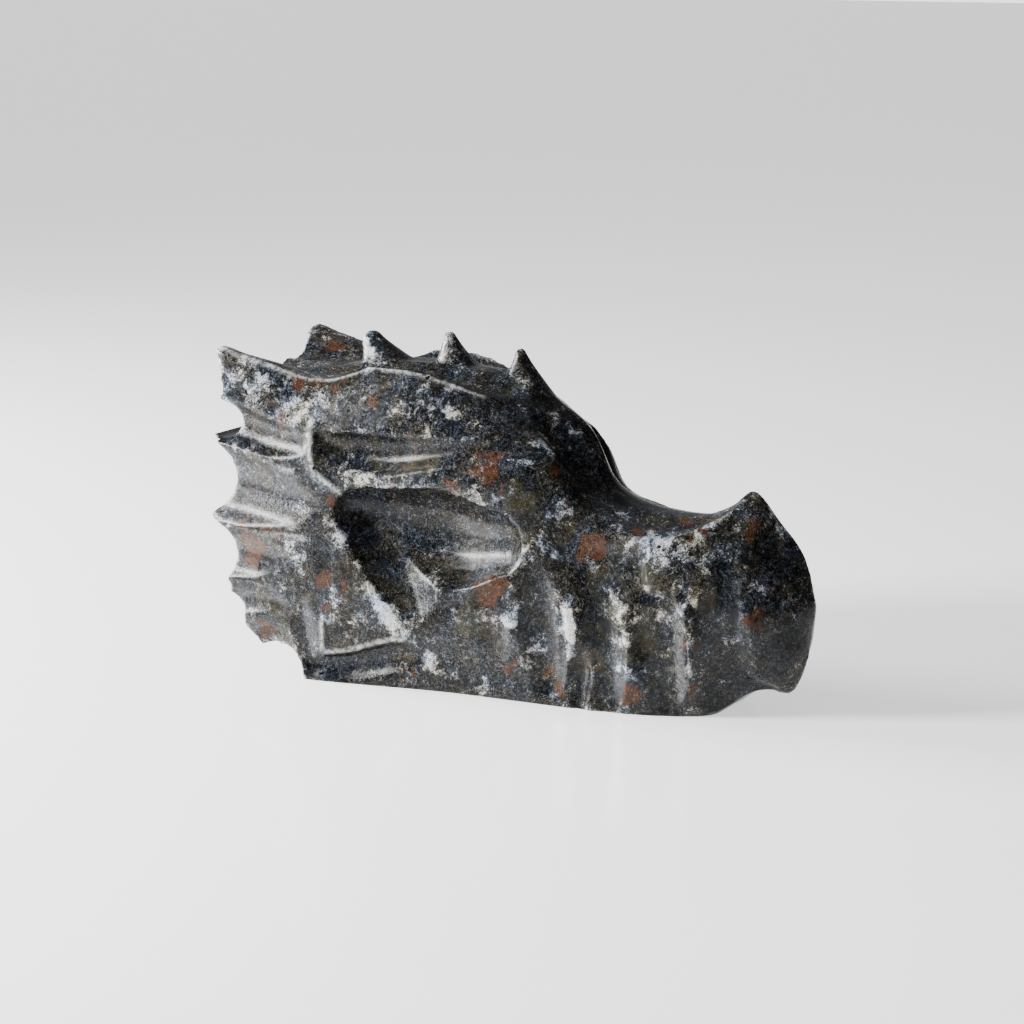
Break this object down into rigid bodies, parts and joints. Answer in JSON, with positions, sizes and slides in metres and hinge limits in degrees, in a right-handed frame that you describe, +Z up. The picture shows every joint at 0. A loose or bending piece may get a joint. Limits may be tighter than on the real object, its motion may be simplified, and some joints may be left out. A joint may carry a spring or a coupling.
{
  "type": "carved dragon skull",
  "caption": "Polished dragon skull ornament carved from one piece of dark speckled fluorescent sodalite syenite, with a flat sawn base to stand on.",
  "frame": {"origin": "on the flat sawn base, under the middle of the skull's bounding box", "axes": "+X towards the snout, +Z up through the crown, +Y towards the skull's left side"},
  "size_m": [0.1241, 0.044, 0.0693],
  "materials": {
    "stone": "polished, dark and mottled, with pale and brown grains"
  },
  "bodies": {
    "root": {"dragon_skull": "stone"}
  },
  "joints": []
}
